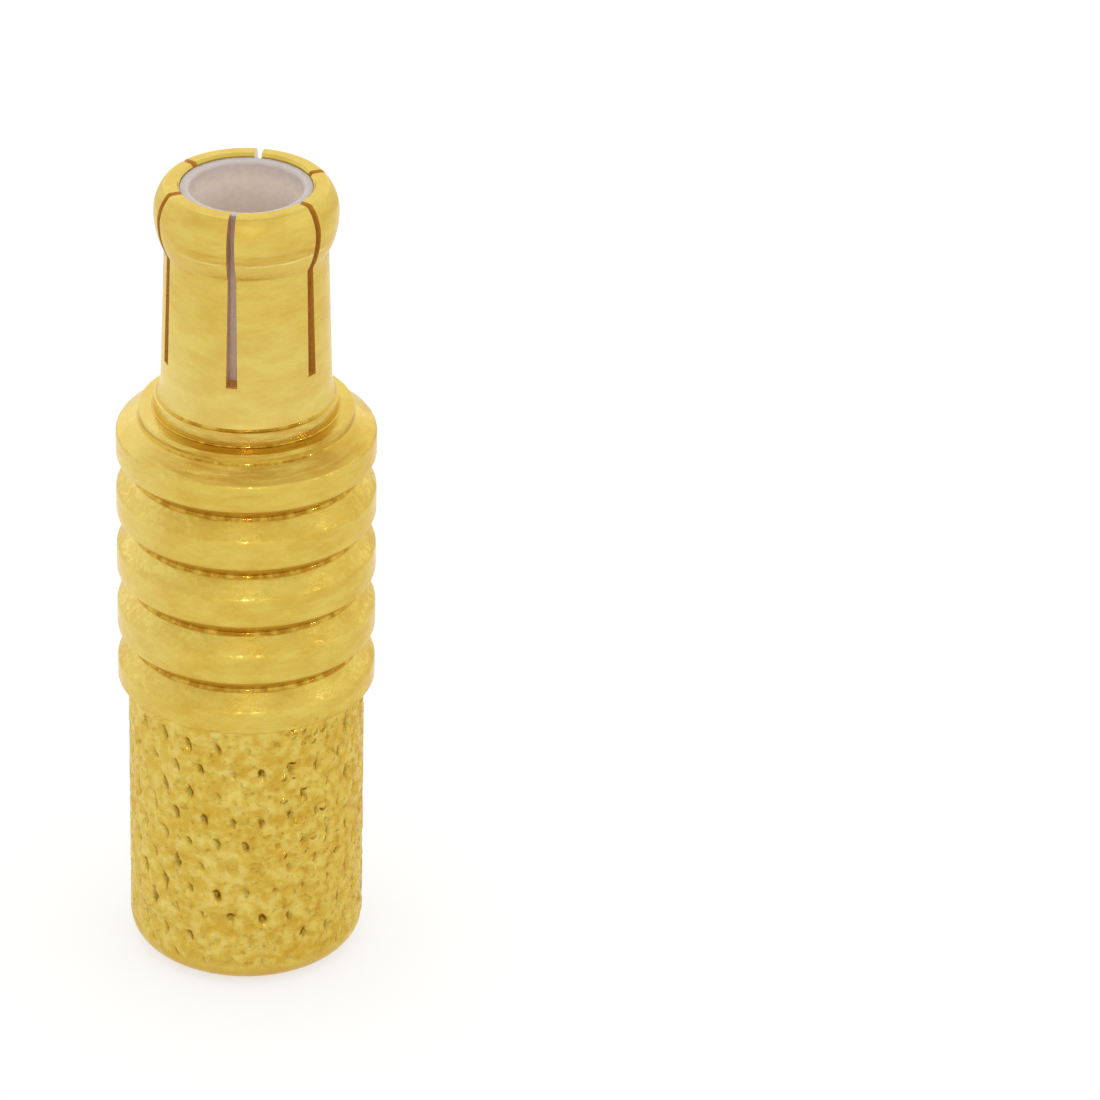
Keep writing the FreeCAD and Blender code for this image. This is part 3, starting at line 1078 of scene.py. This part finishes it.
class PLUG_OT_studio(Operator):
    """Build the floor, the lamps, the world and the camera"""

    bl_idname = "plug.studio"
    bl_label = "Studio"

    def lamp(self, scene, name, place, size, power):
        """One rectangular area lamp; place and size in millimetres."""
        data = bpy.data.lights.new(name, "AREA")
        data.shape = "RECTANGLE"
        data.size = size[0] * MM
        data.size_y = size[1] * MM
        data.energy = power
        lamp = bpy.data.objects.new(name, data)
        lamp.location = Vector(place) * MM
        direction = (Vector(LAMP_AIM) - Vector(place)) * MM
        lamp.rotation_euler = direction.to_track_quat("-Z", "Y").to_euler()
        scene.collection.objects.link(lamp)

    def camera(self, scene):
        """A camera at the photo's angle, turned so that the plug stands left of centre."""
        s = scene.plug_studio
        focal = s.pixels_per_mm / MM * s.distance
        look = Vector((0, math.cos(s.elevation), -math.sin(s.elevation)))
        right = Vector((1, 0, 0))
        up = right.cross(look)
        off_x = IMAGE_SIZE / 2 - s.image_x
        off_y = IMAGE_SIZE / 2 - s.image_y
        axis = (look * focal + right * off_x - up * off_y).normalized()
        side = (right * focal - look * off_x).normalized()
        top = side.cross(axis).normalized()
        side = axis.cross(top)
        data = bpy.data.cameras.new("Camera")
        data.sensor_width = SENSOR_WIDTH
        data.lens = SENSOR_WIDTH * focal / IMAGE_SIZE
        data.clip_start = 0.001
        data.clip_end = 20.0
        camera = bpy.data.objects.new("Camera", data)
        place = Vector((0, 0, s.aim_height)) - look * s.distance
        basis = Matrix((side, top, -axis)).transposed().to_4x4()
        camera.matrix_world = Matrix.Translation(place) @ basis
        scene.collection.objects.link(camera)
        scene.camera = camera

    def world(self, scene):
        """A white studio, brighter low down and behind; the camera sees plain white."""
        level = scene.plug_studio.world_level
        world = bpy.data.worlds.new("Studio")
        world.use_nodes = True
        tree = world.node_tree
        tree.nodes.clear()
        toward = add_node(tree, "ShaderNodeTexCoord").outputs["Generated"]
        parts = add_node(tree, "ShaderNodeSeparateXYZ", {0: toward}).outputs
        height = ranged(tree, parts["Z"], 0.0, 1.0, level * SKY_LOW, level * SKY_HIGH)
        sweep = ranged(tree, parts["Y"], 0.0, 0.8, 0.0, level * SKY_BEHIND)
        total = add_node(tree, "ShaderNodeMath", {0: height, 1: sweep}, operation="ADD").outputs[0]
        light = add_node(tree, "ShaderNodeBackground", {"Color": WHITE, "Strength": total}).outputs[0]
        seen = add_node(tree, "ShaderNodeBackground", {"Color": WHITE, "Strength": 1.0}).outputs[0]
        camera_ray = add_node(tree, "ShaderNodeLightPath").outputs["Is Camera Ray"]
        mix = add_node(tree, "ShaderNodeMixShader", {0: camera_ray, 1: light, 2: seen}).outputs[0]
        add_node(tree, "ShaderNodeOutputWorld", {"Surface": mix})
        scene.world = world

    def execute(self, context):
        scene = context.scene
        signs = ((-1, -1), (1, -1), (1, 1), (-1, 1))
        corners = [(x * FLOOR_HALF, y * FLOOR_HALF, 0) for x, y in signs]
        floor = new_object("studio_floor", corners, [(0, 1, 2, 3)])
        floor.data.materials.append(studio_floor("White paper floor", scene.plug_colours))
        for name, place, size, power in LAMPS:
            self.lamp(scene, name, place, size, getattr(scene.plug_studio, power))
        self.world(scene)
        scene.view_settings.view_transform = "Standard"
        self.camera(scene)
        return {"FINISHED"}


OPERATORS = (
    PLUG_OT_body,
    PLUG_OT_outer_contact,
    PLUG_OT_insulator,
    PLUG_OT_centre_contact,
    PLUG_OT_studio,
)


class PLUG_PT_panel(Panel):
    """Buttons and sizes of the crimp plug"""

    bl_idname = "PLUG_PT_panel"
    bl_label = "Crimp Plug"
    bl_space_type = "VIEW_3D"
    bl_region_type = "UI"
    bl_category = "Crimp Plug"

    def draw(self, context):
        layout = self.layout
        for operator in OPERATORS:
            layout.operator(operator.bl_idname)
        for name, group in GROUPS:
            box = layout.box()
            for key in group.__annotations__:
                box.prop(getattr(context.scene, name), key)


def register():
    """Registers the classes and hangs the settings on the scene."""
    for name, group in GROUPS:
        bpy.utils.register_class(group)
        setattr(bpy.types.Scene, name, PointerProperty(type=group))
    for item in OPERATORS + (PLUG_PT_panel,):
        bpy.utils.register_class(item)


def unregister():
    """Removes the classes and the settings."""
    for item in reversed(OPERATORS + (PLUG_PT_panel,)):
        bpy.utils.unregister_class(item)
    for name, group in reversed(GROUPS):
        delattr(bpy.types.Scene, name)
        bpy.utils.unregister_class(group)


def main():
    """Builds every piece and the studio."""
    register()
    bpy.ops.plug.body()
    bpy.ops.plug.outer_contact()
    bpy.ops.plug.insulator()
    bpy.ops.plug.centre_contact()
    bpy.ops.plug.studio()


if __name__ == "__main__":
    main()
